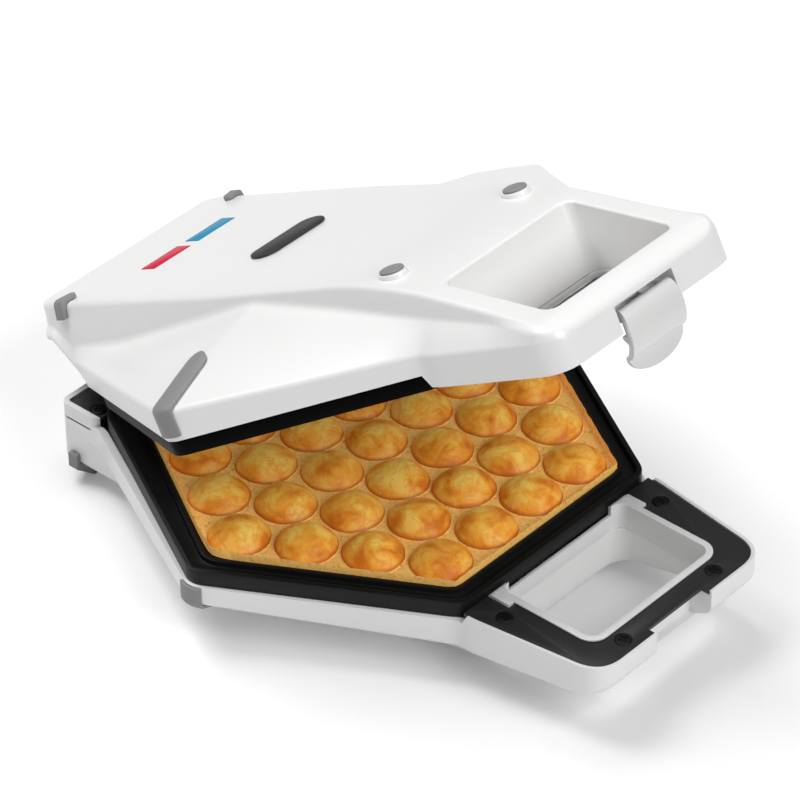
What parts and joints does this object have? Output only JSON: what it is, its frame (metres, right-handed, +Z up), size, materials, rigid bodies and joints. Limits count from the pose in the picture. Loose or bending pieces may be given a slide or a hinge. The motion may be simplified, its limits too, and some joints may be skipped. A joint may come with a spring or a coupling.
{
  "type": "bubble waffle maker",
  "caption": "Hexagonal countertop bubble waffle iron with hinged lid, two-part loop handle, sprung front latch and round-well cooking plates.",
  "frame": {"origin": "on the surface it stands on, below the centre of the bounding box in plan, with the lid part open as stored", "axes": "+X across, to the right as seen from the handle; -Y towards the handle and latch; +Z up"},
  "size_m": [0.2312, 0.3118, 0.1905],
  "materials": {
    "white_plastic": "satin",
    "grey_rubber": "matte",
    "lever_plastic": "satin",
    "black_plastic": "satin",
    "coated_plate": "non-stick coating",
    "steel": "satin",
    "red_lens": "gloss",
    "blue_lens": "gloss",
    "badge": "satin",
    "lead_sleeve": "matte",
    "ceramic": "matte"
  },
  "bodies": {
    "base": {"base_grip_sleeve": "white_plastic", "base_guard_left": "grey_rubber", "base_handle_cover": "black_plastic", "base_pad_left": "grey_rubber", "base_pad_right": "grey_rubber", "base_rear_cover": "black_plastic", "base_shell": "white_plastic", "base_wrap_left": "grey_rubber", "base_wrap_right": "grey_rubber", "cord_inlet": "black_plastic", "hinge_arm_left": "black_plastic", "hinge_arm_right": "black_plastic", "hinge_pin_left": "steel", "hinge_pin_right": "steel", "lead_left": "lead_sleeve", "lead_right": "lead_sleeve", "lower_element": "steel", "lower_heat_shield": "steel", "lower_plate": "coated_plate", "neck_screw_left": "steel", "neck_screw_right": "steel", "nose_screw_left": "steel", "nose_screw_right": "steel", "rear_screw_left": "steel", "rear_screw_right": "steel", "terminal_block": "ceramic", "thermal_fuse": "ceramic", "thermostat": "steel"},
    "lid": {"badge": "badge", "blue_lamp": "blue_lens", "blue_lens": "blue_lens", "hinge_bracket_left": "steel", "hinge_bracket_right": "steel", "latch_pin": "steel", "latch_spring": "steel", "lid_grip_sleeve": "white_plastic", "lid_guard_left": "grey_rubber", "lid_handle_cover": "black_plastic", "lid_pad_left": "grey_rubber", "lid_pad_right": "grey_rubber", "lid_shell": "white_plastic", "lid_wrap_left": "grey_rubber", "lid_wrap_right": "grey_rubber", "red_lamp": "red_lens", "red_lens": "red_lens", "upper_element": "steel", "upper_heat_shield": "steel", "upper_plate": "coated_plate"},
    "latch": {"latch_lever": "lever_plastic"}
  },
  "joints": [
    {"name": "lid_hinge", "type": "hinge", "parent": "base", "child": "lid", "pos_m": [0, 0.13623, 0.0664], "axis": [-1, 0, 0], "range_deg": [-27.4, 72.6]},
    {"name": "latch_lever", "type": "hinge", "parent": "lid", "child": "latch", "pos_m": [0, -0.1269, 0.17937], "axis": [-1, 0, 0], "range_deg": [0, 18], "stiffness_Nm_per_rad": 0.05, "springref_deg": -11.46}
  ]
}
